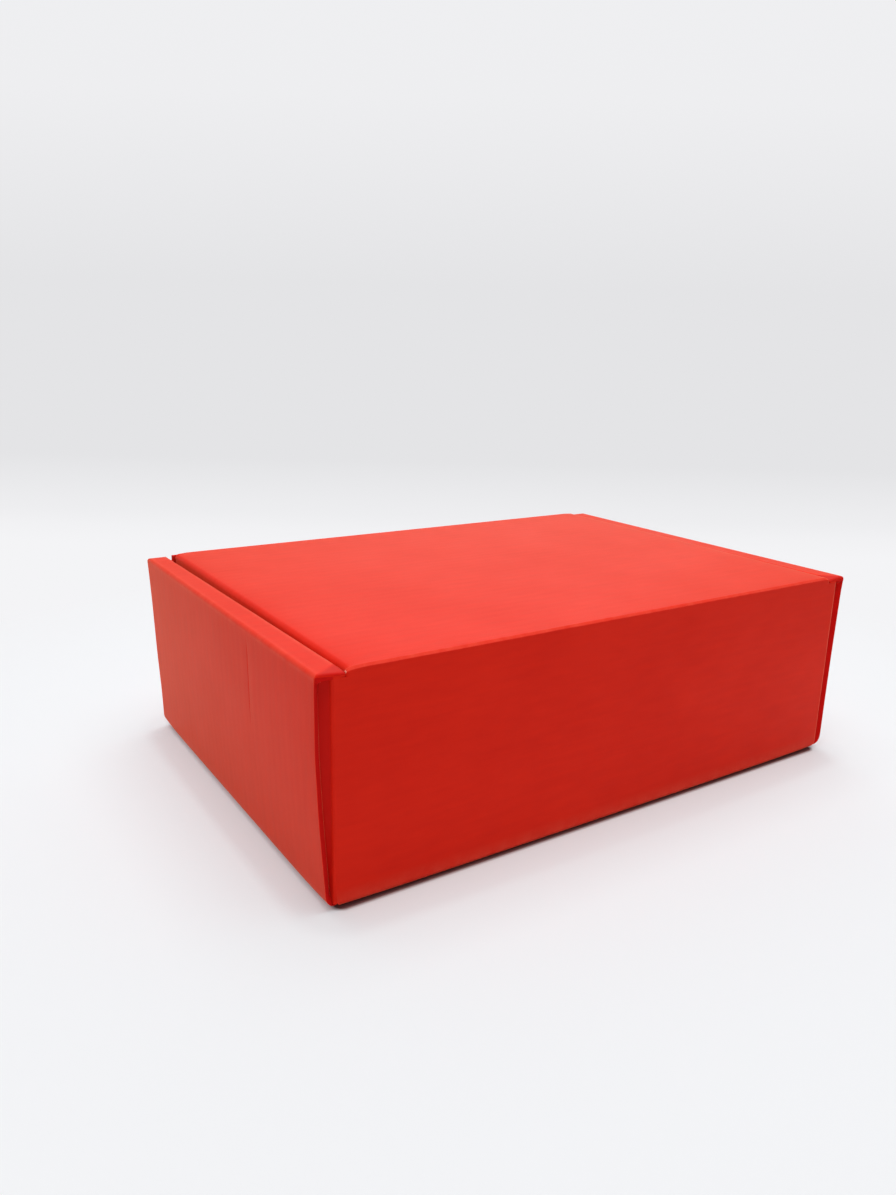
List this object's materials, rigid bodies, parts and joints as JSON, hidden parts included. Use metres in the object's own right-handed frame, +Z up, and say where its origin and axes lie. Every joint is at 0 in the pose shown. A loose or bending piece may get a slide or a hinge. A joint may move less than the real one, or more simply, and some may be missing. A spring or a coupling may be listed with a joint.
{
  "type": "folding mailer box",
  "caption": "Closed die-cut folding box of plain red corrugated board with rolled-over end walls and a hinged lid that tucks in at the front.",
  "frame": {"origin": "centre of the underside, on the surface the box stands on", "axes": "+X along the box, +Z up, +Y from the back wall with the lid's crease to the front wall with the tuck flap"},
  "size_m": [0.3334, 0.2284, 0.108],
  "materials": {
    "board": "matt red paper on both faces of the board"
  },
  "bodies": {
    "tray": {"tray": "board"},
    "lid": {"lid": "board"}
  },
  "joints": [
    {"name": "lid_hinge", "type": "hinge", "parent": "tray", "child": "lid", "pos_m": [0, -0.11366, 0.10741], "axis": [1, 0, 0], "range_deg": [0, 180]}
  ]
}
